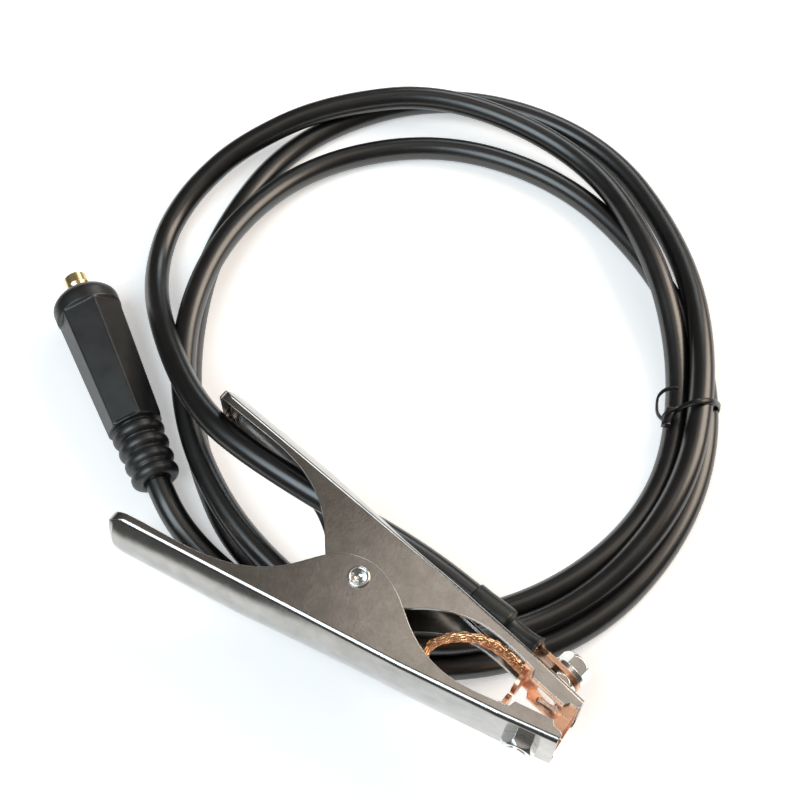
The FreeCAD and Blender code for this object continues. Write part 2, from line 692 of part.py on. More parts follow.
def make_tie():
    """Cable tie over the coil: an arch that stands on the ground."""
    inner, outer = TIE_SPAN
    band = size("tie_plate")
    top = size("coil_height") + 0.1
    width = size("tie_width")
    outside = Part.makeBox(outer - inner + 2 * band, width, top + band, Vector(inner - band, -width / 2, 0))
    inside = Part.makeBox(outer - inner, width, top, Vector(inner, -width / 2, 0))
    knot = Part.makeBox(4.2, width + 1.6, 3.4, Vector(inner - band - 1.0, -width / 2 - 0.8, top + band - 3.4))
    knot = knot.cut(Part.makeBox(30, 20, top, Vector(inner, -10, 0)))
    shape = outside.cut(inside).fuse(knot).removeSplitter()
    turn = Rotation(Vector(0, 0, 1), 180 - TIE_CLOCK)
    place = Vector(COIL_CENTRE.x, COIL_CENTRE.y, size("ground"))
    node(solid_feature("cable_tie", shape, Placement(place, turn)))


# ---------------------------------------------------------------- plug

PLUG_TAIL = Vector(-88.5, -1.3, -22.5)
PLUG_WAY = Vector(-75.2, 43.8, 3.5).normalize()
PLUG_TOP = Vector(-0.07, -0.19, 0.89)  # one flat of the grip faces this way
RIB_COUNT = 4
FLAT_COUNT = 6
FLAT_END = 75.0      # from the tail to the front end of the flats
PIN_SEAT = 50.0      # from the tail to the inner end of the pin
PIN_SHOULDER = 74.0  # from the tail to the pin's shoulder
SOCKET_DEPTH = 18.0  # bore of the pin for the cable's core
SCREW_PLACE = 9.0    # from the inner end of the pin to its grub screw


def plug_place(distance):
    """Placement on the plug's axis, with +Z towards the pin and +Y out of one of the flats."""
    return Placement(PLUG_TAIL + PLUG_WAY * distance, Rotation(Vector(), PLUG_TOP, PLUG_WAY, "ZYX"))


def plug_cylinder(label, radius, start, end):
    item = bound("Part::Cylinder", label, {"Radius": radius}, plug_place(start))
    item.Height = end - start
    return item


def plug_ribs():
    """Round strain-relief ribs at the tail."""
    ribs = []
    for index in range(RIB_COUNT):
        start = index * size("rib_pitch")
        disc = plug_cylinder(f"plug_rib_{index + 1}_disc", f"sizes.rib_small + {index} * sizes.rib_step",
                             start, start + size("rib_length"))
        rib = doc.addObject("Part::Fillet", f"plug_rib_{index + 1}")
        rib.Base = disc
        rib.Edges = [(edge, size("rib_round"), size("rib_round")) for edge in (1, 3)]
        ribs.append(rib)
    return ribs


def make_plug_body():
    """Moulded rubber body: ribs, tapered grip with six flats and a bevelled front."""
    length = size("plug_length")
    ribs_end = RIB_COUNT * size("rib_pitch")
    core = plug_cylinder("plug_rib_core", "sizes.rib_core", size("rib_length") / 2, ribs_end + 1)
    grip = cone("plug_grip", "sizes.plug_waist", "sizes.plug_radius",
                f"sizes.plug_length - 2 * sizes.plug_bevel - {ribs_end}", plug_place(ribs_end))
    first = cone("plug_bevel_low", "sizes.plug_radius", "sizes.plug_shoulder", "sizes.plug_bevel",
                 plug_place(length - 2 * size("plug_bevel")))
    second = cone("plug_bevel_top", "sizes.plug_shoulder", "sizes.plug_nose", "sizes.plug_bevel",
                  plug_place(length - size("plug_bevel")))
    solid = fused("plug_solid", plug_ribs() + [core, grip, first, second])
    rooms = [
        plug_cylinder("plug_cable_room", "sizes.cable_radius", -1, size("entry_depth")),
        plug_cylinder("plug_core_room", "sizes.core_radius", 0, PIN_SEAT + 1),
        plug_cylinder("plug_shank_room", "sizes.pin_shank", PIN_SEAT, PIN_SHOULDER),
        plug_cylinder("plug_neck_room", "sizes.pin_neck", PIN_SHOULDER - 1, length + 1),
    ]
    node(cut("plug_body", solid, fused("plug_rooms", rooms + flat_tools(ribs_end))))


def flat_tools(start):
    """Cutters for the flats, parallel to the taper of the grip."""
    grip_end = size("plug_length") - 2 * size("plug_bevel")
    growth = size("plug_radius") - size("plug_waist")
    lean = math.degrees(math.atan2(growth, grip_end - start))
    surface = size("plug_waist") - size("flat_depth")
    tools = []
    for index in range(FLAT_COUNT):
        tool = bound("Part::Box", f"plug_flat_{index + 1}", {"Length": "sizes.flat_width"})
        tool.Width = 6.0
        tool.Height = FLAT_END - start
        spin = Placement(Vector(), Rotation(Vector(0, 0, 1), 360 * index / FLAT_COUNT))
        tilt = Placement(Vector(0, surface, 0), Rotation(Vector(1, 0, 0), -lean))
        across = Placement(Vector(-size("flat_width") / 2, 0, 0), Rotation())
        tool.Placement = plug_place(start) * spin * tilt * across
        tools.append(tool)
    return tools


def make_plug_pin():
    """Brass pin with the cable's core in its bore and the screw that holds the core."""
    length = size("plug_length")
    tip = length + size("pin_reach")
    pieces = [
        plug_cylinder("pin_shank_rod", "sizes.pin_shank", PIN_SEAT, PIN_SHOULDER),
        plug_cylinder("pin_neck_rod", "sizes.pin_neck", PIN_SHOULDER - 0.5, length + 2.0),
        cone("pin_neck_flare", "sizes.pin_neck", "sizes.pin_radius", "1.8", plug_place(length + 2.0)),
        plug_cylinder("pin_tip_rod", "sizes.pin_radius", length + 3.8, tip - 0.5),
        cone("pin_tip_edge", "sizes.pin_radius", "sizes.pin_radius - 0.5", "0.5", plug_place(tip - 0.5)),
    ]
    solid = fused("pin_solid", pieces)
    socket = plug_cylinder("pin_socket", "sizes.core_radius", PIN_SEAT - 1, PIN_SEAT + SOCKET_DEPTH)
    screw_place = plug_place(PIN_SEAT + SCREW_PLACE) * Placement(
        Vector(), Rotation(Vector(0, 0, 1), Vector(0, 1, 0)))
    screw_room = cylinder("pin_screw_room", "sizes.screw_radius", "2 * sizes.pin_shank", screw_place)
    node(cut("plug_pin", solid, fused("pin_rooms", [socket, screw_room])))

    node(plug_cylinder("plug_core", "sizes.core_radius", size("entry_depth"), PIN_SEAT + SOCKET_DEPTH))

    rod = cylinder("screw_rod", "sizes.screw_radius", "sizes.pin_shank", screw_place)
    core_room = plug_cylinder("screw_core_room", "sizes.core_radius", PIN_SEAT, PIN_SEAT + SOCKET_DEPTH)
    limit = plug_cylinder("screw_limit", "sizes.pin_shank", PIN_SEAT, PIN_SHOULDER)
    node(cut("plug_grub_screw", common("screw_inside", [rod, limit]), core_room))


# ---------------------------------------------------------------- braid

# (X, Y, width, thickness) along the middle of the braid, from the upper insert to the lower one
BRAID_STATIONS = (
    (57.0, 8.6, 10.0, 2.0), (51.5, 9.8, 9.6, 2.0), (45.5, 10.1, 8.4, 2.2), (39.5, 8.9, 6.6, 2.4),
    (34.0, 5.7, 5.0, 2.6), (29.9, 1.3, 4.4, 2.8), (28.4, -3.4, 4.6, 2.8), (31.2, -7.8, 5.6, 2.6),
    (37.0, -10.0, 7.0, 2.4), (46.5, -10.2, 9.0, 2.2), (56.9, -8.5, 10.0, 2.0),
)


BRAID_STEPS = 4  # sections between two stations


def make_braid():
    """Copper braid that carries the current to the moving jaw, flat at its ends."""
    curve = Part.BSplineCurve()
    curve.interpolate([Vector(x, y, 0) for x, y, width, thick in BRAID_STATIONS])
    sections = []
    for first, last in zip(BRAID_STATIONS, BRAID_STATIONS[1:]):
        start, end = (curve.parameter(Vector(station[0], station[1], 0)) for station in (first, last))
        for step in range(BRAID_STEPS):
            sections.append(braid_section(curve, first, last, start, end, step / BRAID_STEPS))
    sections.append(braid_section(curve, first, last, start, end, 1.0))
    print(f"braid_strap: length {curve.length():.1f}")
    node(solid_feature("braid_strap", Part.makeLoft(sections, True, True)))


def braid_section(curve, first, last, start, end, share):
    """Rectangle across the braid, a share of the way from one station to the next."""
    parameter = start + (end - start) * share
    middle = curve.value(parameter)
    way = curve.tangent(parameter)[0]
    width = first[2] + (last[2] - first[2]) * share
    thick = first[3] + (last[3] - first[3]) * share
    across = Vector(-way.y, way.x, 0) * (thick / 2)
    rise = Vector(0, 0, width / 2)
    corners = [middle + across + rise, middle + across - rise,
               middle - across - rise, middle - across + rise]
    return Part.makePolygon(corners + corners[:1])


# ---------------------------------------------------------------- assembly

make_upper_lever()
make_lower_lever()
make_pivot()
make_spring()
make_insert("upper_jaw_insert", 1, UPPER_HALF, size("upper_bolt_x"))
make_insert("lower_jaw_insert", -1, LOWER_HALF, size("lower_bolt_x"))
make_braid()

make_fasteners()
make_lug()
make_sleeve()
make_cord("cable_lead", LEAD_ROUTE, size("cable_radius"))
make_cord("plug_lead", PLUG_ROUTE, size("cable_radius"))
make_coil()
make_tie()
make_plug_body()
make_plug_pin()

doc.recompute()

for item in doc.Objects:
    if "Invalid" in item.State or "Error" in item.State:
        raise RuntimeError(f"{item.Label} did not compute: {item.State}")
for item in nodes:
    shape = item.Shape
    if shape.isNull() or not shape.isValid() or shape.Volume <= 0:
        raise RuntimeError(f"{item.Label} has no valid shape")

os.makedirs("parts", exist_ok=True)
for item in nodes:
    item.Shape.exportStep(f"parts/{item.Label}.step")
    box = item.Shape.BoundBox
    print(f"{item.Label:22s} solids {len(item.Shape.Solids)} volume {item.Shape.Volume:9.1f} "
          f"x {box.XMin:7.1f} {box.XMax:7.1f} y {box.YMin:7.1f} {box.YMax:7.1f} "
          f"z {box.ZMin:6.1f} {box.ZMax:6.1f}")
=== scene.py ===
import math

import bpy
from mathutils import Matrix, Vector


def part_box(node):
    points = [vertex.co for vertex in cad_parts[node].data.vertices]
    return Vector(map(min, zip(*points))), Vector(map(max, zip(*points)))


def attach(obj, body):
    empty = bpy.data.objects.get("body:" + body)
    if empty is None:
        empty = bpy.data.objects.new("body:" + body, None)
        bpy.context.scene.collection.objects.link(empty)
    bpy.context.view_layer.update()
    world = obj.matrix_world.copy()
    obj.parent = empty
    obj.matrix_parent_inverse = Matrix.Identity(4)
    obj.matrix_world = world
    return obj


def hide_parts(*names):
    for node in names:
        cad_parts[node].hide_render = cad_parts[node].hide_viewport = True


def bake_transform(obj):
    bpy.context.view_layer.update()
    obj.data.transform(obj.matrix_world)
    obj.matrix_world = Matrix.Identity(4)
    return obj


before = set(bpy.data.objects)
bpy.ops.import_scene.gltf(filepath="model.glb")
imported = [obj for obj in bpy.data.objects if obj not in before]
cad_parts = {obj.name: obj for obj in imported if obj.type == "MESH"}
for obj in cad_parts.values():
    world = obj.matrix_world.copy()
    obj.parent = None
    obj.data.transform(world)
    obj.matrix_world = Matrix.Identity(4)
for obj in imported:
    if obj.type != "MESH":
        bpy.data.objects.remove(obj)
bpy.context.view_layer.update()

# A work-return clamp for arc welding with its coiled cable and plug, in the part's frame.
# Routes, rows and stations are in mm and become metres where a curve or mesh is made.

MM = 0.001
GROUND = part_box("cable_coil")[0].z  # the coil lies on the ground
CABLE_RADIUS = 4.6 * MM
ROOT = "clamp"


# ------------------------------------------------------------------ materials


BUMP_DEPTH = 0.1 * MM
BEVEL_SAMPLES = 6
# Cosine between the rounded and the true normal at which the painted edge highlight is full, and where it is
# gone
EDGE_HIGHLIGHT_COSINE, PLAIN_COSINE = 0.86, 0.98
# Painted edge highlight: its gain, its brightest colour and the roughness it gives
EDGE_HIGHLIGHT_GAIN = 1.3  # on the light colour
EDGE_HIGHLIGHT_BRIGHTEST = 0.97
EDGE_HIGHLIGHT_ROUGHNESS = 0.5
WHITE, BLACK = (1.0, 1.0, 1.0), (0.0, 0.0, 0.0)


class Nodes:
    """A node material and short ways to add to it."""

    def __init__(self, name):
        self.material = bpy.data.materials.new(name)
        self.material.use_nodes = True
        self.tree = self.material.node_tree
        self.shader = self.tree.nodes["Principled BSDF"]

    def add(self, kind, **settings):
        node = self.tree.nodes.new(kind)
        for key, value in settings.items():
            setattr(node, key, value)
        return node

    def link(self, output, target):
        self.tree.links.new(output, target)

    def set(self, name, value):
        """Give an input of the shader a plain value."""
        self.shader.inputs[name].default_value = value

    def wire(self, name, output):
        """Drive an input of the shader."""
        self.link(output, self.shader.inputs[name])

    def coords(self, scale=(1, 1, 1)):
        place = self.add("ShaderNodeTexCoord")
        mapping = self.add("ShaderNodeMapping")
        mapping.inputs["Scale"].default_value = scale
        self.link(place.outputs["Object"], mapping.inputs["Vector"])
        return mapping.outputs["Vector"]

    def noise(self, scale, detail, roughness, stretch=(1, 1, 1)):
        node = self.add("ShaderNodeTexNoise")
        node.inputs["Scale"].default_value = scale
        node.inputs["Detail"].default_value = detail
        node.inputs["Roughness"].default_value = roughness
        self.link(self.coords(stretch), node.inputs["Vector"])
        return node.outputs["Fac"]

    def ramp(self, source, low, high):
        """Colour that goes from low to high, each a pair of a position and a colour."""
        node = self.add("ShaderNodeValToRGB")
        for element, (position, colour) in zip(node.color_ramp.elements, (low, high)):
            element.position = position
            element.color = (*colour, 1.0)
        self.link(source, node.inputs["Fac"])
        return node.outputs["Color"]

    def values(self, source, low, high):
        """Number from low to high for a source from 0 to 1."""
        node = self.add("ShaderNodeMapRange")
        node.inputs["To Min"].default_value = low
        node.inputs["To Max"].default_value = high
        self.link(source, node.inputs["Value"])
        return node.outputs["Result"]

    def mix(self, factor, first, second):
        """Mix of two colours."""
        node = self.add("ShaderNodeMix", data_type="RGBA")
        first_colour, second_colour = [socket for socket in node.inputs if socket.type == "RGBA"]
        self.link(factor, node.inputs["Factor"])
        self.link(first, first_colour)
        self.link(second, second_colour)
        return next(socket for socket in node.outputs if socket.type == "RGBA")

    def math(self, operation, *values):
        """Result of an operation on numbers and outputs of nodes."""
        node = self.add("ShaderNodeMath", operation=operation)
        for value, socket in zip(values, node.inputs):
            if isinstance(value, float):
                socket.default_value = value
            else:
                self.link(value, socket)
        return node.outputs["Value"]

    def bump(self, source, strength, normal=None):
        node = self.add("ShaderNodeBump")
        node.inputs["Strength"].default_value = strength
        node.inputs["Distance"].default_value = BUMP_DEPTH
        self.link(source, node.inputs["Height"])
        if normal is not None:
            self.link(normal, node.inputs["Normal"])
        self.wire("Normal", node.outputs["Normal"])


def metal(name, dark, light, roughness, grain, bump=0.0, edge=0.3):
    """Bare metal with mottled colour and roughness; its edges are rounded by edge mm and carry a painted
    highlight.
    """
    made = Nodes(name)
    rounded = made.add("ShaderNodeBevel", samples=BEVEL_SAMPLES)
    rounded.inputs["Radius"].default_value = edge * MM
    plain = made.add("ShaderNodeNewGeometry")
    alike = made.add("ShaderNodeVectorMath", operation="DOT_PRODUCT")
    made.link(rounded.outputs["Normal"], alike.inputs[0])
    made.link(plain.outputs["Normal"], alike.inputs[1])
    # Painted highlight along edges and folds: lighter colour and rougher metal where the rounded normal turns
    # from the true one
    edge_highlight = made.ramp(alike.outputs["Value"], (EDGE_HIGHLIGHT_COSINE, WHITE), (PLAIN_COSINE, BLACK))
    mottle = made.noise(grain, detail=5.0, roughness=0.6)
    bare = made.ramp(mottle, (0.3, dark), (0.7, light))
    brighter = tuple(min(EDGE_HIGHLIGHT_GAIN * part, EDGE_HIGHLIGHT_BRIGHTEST) for part in light)
    highlighted = made.ramp(mottle, (0.3, light), (0.7, brighter))
    made.wire("Base Color", made.mix(edge_highlight, bare, highlighted))
    fine = made.noise(6 * grain, detail=3.0, roughness=0.6, stretch=(1, 1, 0.25))
    smooth = made.values(fine, *roughness)
    made.wire("Roughness", made.math("MAXIMUM", smooth, made.math("MULTIPLY", edge_highlight, EDGE_HIGHLIGHT_ROUGHNESS)))
    made.set("Metallic", 1.0)
    if bump:
        made.bump(fine, bump, rounded.outputs["Normal"])
    else:
        made.wire("Normal", rounded.outputs["Normal"])
    return made.material


def rubber(name, dark, light, roughness, grain, bump, shine=0.5):
    """Black rubber or plastic with a faintly uneven surface."""
    made = Nodes(name)
    mottle = made.noise(grain, detail=4.0, roughness=0.5)
    made.wire("Base Color", made.ramp(mottle, (0.3, dark), (0.75, light)))
    made.wire("Roughness", made.values(mottle, *roughness))
    made.set("Specular IOR Level", shine)
    made.bump(made.noise(9 * grain, detail=2.0, roughness=0.5), bump)
    return made.material


ZINC = metal("zinc_steel", (0.42, 0.405, 0.385), (0.54, 0.525, 0.505), (0.13, 0.26), 160, 0.12, 0.4)
BRIGHT = metal("bright_zinc", (0.78, 0.79, 0.78), (0.92, 0.92, 0.9), (0.16, 0.28), 140)
SPRING = metal("spring_steel", (0.1, 0.1, 0.1), (0.2, 0.2, 0.2), (0.25, 0.4), 200)
COPPER = metal("sheet_copper", (0.62, 0.34, 0.22), (0.9, 0.56, 0.39), (0.2, 0.38), 110, 0.2)
BRAID = metal("braid_copper", (0.8, 0.34, 0.15), (0.99, 0.6, 0.34), (0.2, 0.34), 500)
BRASS = metal("turned_brass", (0.86, 0.64, 0.28), (0.98, 0.82, 0.48), (0.22, 0.34), 160, 0.1)
CABLE = rubber("cable_rubber", (0.0018, 0.0019, 0.0021), (0.004, 0.0042, 0.0045), (0.27, 0.35), 120, 0.08,
               1.0)
PLUG = rubber("plug_rubber", (0.009, 0.009, 0.0095), (0.018, 0.018, 0.0185), (0.34, 0.46), 160, 0.35, 0.8)
SHRINK = rubber("shrink_tube", (0.01, 0.012, 0.01), (0.02, 0.022, 0.019), (0.34, 0.46), 90, 0.15)
NYLON = rubber("nylon_tie", (0.006, 0.006, 0.007), (0.012, 0.012, 0.013), (0.25, 0.35), 90, 0.05)

LOOKS = (
    (ZINC, ("upper_lever", "lower_lever")),
    (BRIGHT, ("pivot_rivet", "pivot_spacer", "upper_jaw_bolt", "upper_inner_nut", "upper_spring_washer",
              "upper_outer_nut", "lower_jaw_bolt", "lower_jaw_nut", "plug_grub_screw")),
    (SPRING, ("torsion_spring",)),
    (COPPER, ("upper_jaw_insert", "lower_jaw_insert", "cable_lug")),
    (BRAID, ("braid_strap", "lug_core", "plug_core")),
    (BRASS, ("plug_pin",)),
    (CABLE, ("cable_lead", "cable_coil", "plug_lead")),
    (PLUG, ("plug_body",)),
    (SHRINK, ("heat_shrink_sleeve",)),
    (NYLON, ("cable_tie",)),
)


def paint_nodes():
    """Give every mesh of the frame its material."""
    for material, names in LOOKS:
        for name in names:
            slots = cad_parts[name].data.materials
            slots.clear()
            slots.append(material)


paint_nodes()


# ------------------------------------------------------------------ camera, floor and light

VIEW_AZIMUTH = math.radians(35.3)
VIEW_ELEVATION = math.radians(61.0)
VIEW_DISTANCE = 505.6 * MM
VIEW_LENS = 60.75
VIEW_TARGET = Vector((-40.65 * MM, 79.74 * MM, GROUND))
CLIP_START = 10 * MM

FLOOR_HALF = 3000 * MM
CARD_HALF_WIDTH = 156 * MM  # at the target
CARD_SPREAD = 0.142  # growth of the half width per length away from the viewer
CARD_MIDDLE = 29 * MM  # beyond the target
CARD_HALF_DEPTH = 180 * MM
CARD_FADE = 1.24  # where the card has faded out, in half widths or half depths
CARD_WHITE = (0.94, 0.94, 0.94)
TABLE_DARK = (0.05, 0.05, 0.05)
CARD_GLOW = 0.42
CARD_ROUGHNESS = 0.8

WORLD_LOW = (0.15, (0.07, 0.066, 0.062, 1.0))  # position on the ramp and colour
WORLD_HIGH = (0.9, (0.14, 0.122, 0.108, 1.0))

# name, azimuth and elevation in degrees, distance and side in metres, power in watts, colour
LIGHTS = (
    ("left", 345, 55, 1.3, 0.85, 11.0, (0.8, 0.93, 1.0)),
    ("right", 148, 34, 1.3, 0.85, 13.0, (1.0, 0.86, 0.72)),
    ("canopy", 168, 68, 1.5, 0.8, 1.5, (1.0, 0.9, 0.8)),
    ("rim", 199, 30, 1.5, 0.55, 3.0, (0.85, 0.95, 1.0)),
)


def view_direction(azimuth, elevation):
    """Unit vector from the target towards a viewer."""
    flat = math.cos(elevation)
    return Vector((math.sin(azimuth) * flat, -math.cos(azimuth) * flat, math.sin(elevation)))


def aim(item, target):
    way = target - item.location
    item.rotation_euler = way.to_track_quat("-Z", "Y").to_euler()


def make_camera():
    data = bpy.data.cameras.new("camera")
    data.lens = VIEW_LENS
    data.clip_start = CLIP_START
    camera = bpy.data.objects.new("camera", data)
    bpy.context.scene.collection.objects.link(camera)
    camera.location = VIEW_TARGET + view_direction(VIEW_AZIMUTH, VIEW_ELEVATION) * VIEW_DISTANCE
    aim(camera, VIEW_TARGET)
    bpy.context.scene.camera = camera


def make_light(name, azimuth, elevation, distance, side, power, colour):
    """Square area light aimed at the camera's target, azimuth measured as the camera's."""
    data = bpy.data.lights.new(name, "AREA")
    data.shape = "SQUARE"
    data.size = side
    data.energy = power
    data.color = colour
    lamp = bpy.data.objects.new(name, data)
    bpy.context.scene.collection.objects.link(lamp)
    way = view_direction(math.radians(azimuth), math.radians(elevation))
    lamp.location = VIEW_TARGET + way * distance
    aim(lamp, VIEW_TARGET)


def make_world():
    """Dark studio, a little lighter overhead."""
    world = bpy.data.worlds.new("studio")
    bpy.context.scene.world = world
    world.use_nodes = True
    tree = world.node_tree
    place = tree.nodes.new("ShaderNodeTexCoord")
    split = tree.nodes.new("ShaderNodeSeparateXYZ")
    ramp = tree.nodes.new("ShaderNodeValToRGB")
    for element, (position, colour) in zip(ramp.color_ramp.elements, (WORLD_LOW, WORLD_HIGH)):
        element.position = position
        element.color = colour
    tree.links.new(place.outputs["Generated"], split.inputs[0])
    tree.links.new(split.outputs["Z"], ramp.inputs["Fac"])
    tree.links.new(ramp.outputs["Color"], tree.nodes["Background"].inputs["Color"])


def card_material():
    """Glowing white inside the card's outline, dark outside, with a soft edge."""
    made = Nodes("floor_paper")
    split = made.add("ShaderNodeSeparateXYZ")
    made.link(made.coords(), split.inputs[0])
    room = made.math("MULTIPLY_ADD", split.outputs["Y"], CARD_SPREAD, CARD_HALF_WIDTH)
    across = made.math("DIVIDE", made.math("ABSOLUTE", split.outputs["X"]), room)
    off = made.math("SUBTRACT", split.outputs["Y"], CARD_MIDDLE)
    along = made.math("DIVIDE", made.math("ABSOLUTE", off), CARD_HALF_DEPTH)
    edge = made.math("MULTIPLY", made.math("MAXIMUM", across, along), 0.5)  # a ramp ends at 1
    paper = made.ramp(edge, (0.5, CARD_WHITE), (CARD_FADE / 2, TABLE_DARK))
    made.wire("Base Color", paper)
    made.wire("Emission Color", paper)
    made.set("Emission Strength", CARD_GLOW)
    made.set("Roughness", CARD_ROUGHNESS)
    return made.material


def make_floor():
    """White card under the part on a dark table; the card's edge is just outside the view."""
    corners = [(x * FLOOR_HALF, y * FLOOR_HALF, 0) for x, y in ((-1, -1), (1, -1), (1, 1), (-1, 1))]
    mesh = bpy.data.meshes.new("floor")
    mesh.from_pydata(corners, [], [(0, 1, 2, 3)])
    mesh.materials.append(card_material())
    floor = bpy.data.objects.new("floor", mesh)
    floor.location = VIEW_TARGET
    floor.rotation_euler.z = VIEW_AZIMUTH
    bpy.context.scene.collection.objects.link(floor)


make_camera()
make_world()
make_floor()
for light in LIGHTS:
    make_light(*light)
bpy.context.scene.view_settings.view_transform = "Standard"


# ------------------------------------------------------------------ cable

# From the sleeve through the handle, down beside the coil and up on to it
LEAD_ROUTE = (
    (45.0, 18.4, 0.0), (31.0, 19.7, 0.0), (16.0, 21.1, 0.0), (0.0, 21.3, 0.0), (-16.0, 20.4, 0.0),
    (-32.0, 19.6, -0.1), (-48.0, 19.3, -0.4), (-63.0, 19.7, -1.0), (-78.0, 21.4, -2.3),
    (-93.0, 26.6, -4.8), (-107.0, 34.3, -8.6), (-120.5, 43.2, -13.4), (-133.5, 53.0, -19.0),
    (-145.0, 64.0, -24.0), (-154.0, 76.5, -26.6), (-160.0, 90.5, -26.4), (-161.7, 109.5, -23.4),
    (-157.5, 134.2, -19.8), (-141.6, 168.7, -18.1),
)

# From the coil along the ground and up to the plug
PLUG_ROUTE = (
    (-32.5, -13.9, -27.4), (-43.0, -13.6, -27.4), (-54.0, -12.8, -27.3), (-65.0, -11.0, -26.4),
    (-75.2, -8.1, -24.7), (-84.2, -3.8, -22.7), (-95.4, 2.72, -22.18),
)

TUBE_SIDES = 8  # bevel resolution
TUBE_STEPS = 16  # between two control points
COIL_CENTRE = (-43.0, 97.0)
TURN_STEP = 30  # degrees between the points of a turn
FIRST_CLOCK = 60  # place of the first point, in degrees clockwise from -X

# The three passes of the cable round the coil: (radius, height of the axis over the ground) at every
# point. Each pass starts one step after the end of the one before.
PASS_OVER = (
    (119.4, 13.9), (112.0, 8.8), (96.5, 14.0), (95.0, 5.4), (101.0, 4.6), (102.8, 4.6),
    (106.0, 4.6), (102.3, 4.6), (88.9, 4.6), (86.1, 4.6), (95.7, 4.6),
)
PASS_OUTER = (
    (115.2, 4.6), (128.0, 4.6), (125.6, 4.6), (110.5, 6.0), (102.3, 13.0), (107.4, 12.6), (112.0, 5.5),
    (114.8, 13.0), (98.5, 13.6), (89.8, 13.8), (87.3, 13.8), (90.6, 12.6),
)
PASS_INNER = (
    (99.1, 5.1), (101.4, 4.6), (99.3, 4.6), (97.6, 4.6), (105.7, 4.6), (112.7, 4.6), (120.7, 4.6),
    (120.0, 4.6),
)


def coil_points():
    """Control points of the coil's turns."""
    bulge = 1 / math.cos(math.radians(TURN_STEP / 2))  # the curve runs inside its control points
    points = []
    clock = FIRST_CLOCK
    for radius, height in PASS_OVER + PASS_OUTER + PASS_INNER:
        turn = math.radians(clock)
        x = COIL_CENTRE[0] - radius * bulge * math.cos(turn)
        y = COIL_CENTRE[1] + radius * bulge * math.sin(turn)
        points.append((x, y, GROUND / MM + height))
        clock += TURN_STEP
    return points


def nurbs(name, points, radius):
    """Open NURBS tube with these control points, in mm."""
    curve = bpy.data.curves.new(name, "CURVE")
    curve.dimensions = "3D"
    curve.bevel_depth = radius
    curve.bevel_resolution = TUBE_SIDES
    curve.use_fill_caps = True
    spline = curve.splines.new("NURBS")
    spline.points.add(len(points) - 1)
    for point, place in zip(spline.points, points):
        point.co = (*(Vector(place) * MM), 1.0)
    spline.order_u = 3
    spline.use_endpoint_u = True
    spline.resolution_u = TUBE_STEPS
    item = bpy.data.objects.new(name, curve)
    bpy.context.scene.collection.objects.link(item)
    return item


def make_cable(on_it):
    """The whole cable; on_it, the pieces that lie on it, is not used."""
    route = list(LEAD_ROUTE) + coil_points() + list(PLUG_ROUTE)
    cable = nurbs("cable", route, CABLE_RADIUS)
    cable.data.materials.append(CABLE)
    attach(cable, ROOT)
    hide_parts("cable_lead", "cable_coil", "plug_lead")


# ------------------------------------------------------------------ pieces in detail


def make_piece(name, points, faces, material, nodes):
    """Smooth mesh object from points in mm that stands for CAD nodes; the caller puts it on a body."""
    mesh = bpy.data.meshes.new(name)
    mesh.from_pydata([tuple(Vector(point) * MM) for point in points], [], faces)
    mesh.materials.append(material)
    for polygon in mesh.polygons:
        polygon.use_smooth = True
    mesh.update()
    item = bpy.data.objects.new(name, mesh)
    bpy.context.scene.collection.objects.link(item)
    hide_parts(*nodes)
    return item


def ring_faces(rings, around, first=0):
    """Quads between rings of points that follow each other; first is the index of the first point."""
    faces = []
    for ring in range(rings - 1):
        for index in range(around):
            after = (index + 1) % around
            low, high = first + ring * around, first + (ring + 1) * around
            faces.append((low + index, low + after, high + after, high + index))
    return faces


def lathe(origin, way, top, rows, radius_at, around):
    """Rings about an axis. A row starts with the distance along it; radius_at(row, angle) is the radius."""
    axis = Vector(way).normalized()
    up = (Vector(top) - axis * Vector(top).dot(axis)).normalized()
    across = up.cross(axis)
    points = []
    for row in rows:
        for index in range(around):
            angle = 2 * math.pi * index / around
            out = up * math.cos(angle) + across * math.sin(angle)
            points.append(Vector(origin) + axis * row[0] + out * radius_at(row, angle))
    return points, ring_faces(len(rows), around)


def smooth_path(points, steps):
    """Catmull-Rom interpolation of tuples of numbers, steps between two of them."""
    result = []
    for index in range(len(points) - 1):
        before = points[max(index - 1, 0)]
        start, end = points[index], points[index + 1]
        after = points[min(index + 2, len(points) - 1)]
        for step in range(steps):
            t = step / steps
            result.append(tuple(
                0.5 * (2 * b + (c - a) * t + (2 * a - 5 * b + 4 * c - d) * t ** 2
                       + (3 * b - a - 3 * c + d) * t ** 3)
                for a, b, c, d in zip(before, start, end, after)))
    result.append(tuple(points[-1]))
    return result


def tube(points, radius, around, first):
    """Rings and faces of a round tube through points."""
    rings = []
    side = None
    for index, point in enumerate(points):
        way = (points[min(index + 1, len(points) - 1)] - points[max(index - 1, 0)]).normalized()
        side = way.orthogonal().normalized() if side is None else (side - way * side.dot(way)).normalized()
        other = way.cross(side)
        for corner in range(around):
            angle = 2 * math.pi * corner / around
            rings.append(point + (side * math.cos(angle) + other * math.sin(angle)) * radius)
    return rings, ring_faces(len(points), around, first)


PLUG_TAIL = (-88.5, -1.3, -22.5)
PLUG_WAY = (-75.2, 43.8, 3.5)  # direction of the axis
PLUG_TOP = (-0.07, -0.19, 0.89)  # outward direction of one flat
PLUG_AROUND = 168
RIB_PITCH, RIB_LENGTH = 5.8, 5.2
RIB_ROUND = 2.4  # radius of a rib's rounded shoulders
RIB_FLOOR = 7.7  # radius between the ribs
RIB_RADII = (8.7, 9.0, 9.3, 9.6)
ARC_POINTS = 7  # of a shoulder
FLAT_COUNT = 6
FLAT_START, FLAT_END = 23.6, 75.0
FLAT_LOW, FLAT_GROWTH = 9.0, 0.0358  # distance of a flat from the axis, and how that grows
FLAT_SOFT = 0.3  # depth in which a flat's edge is rounded
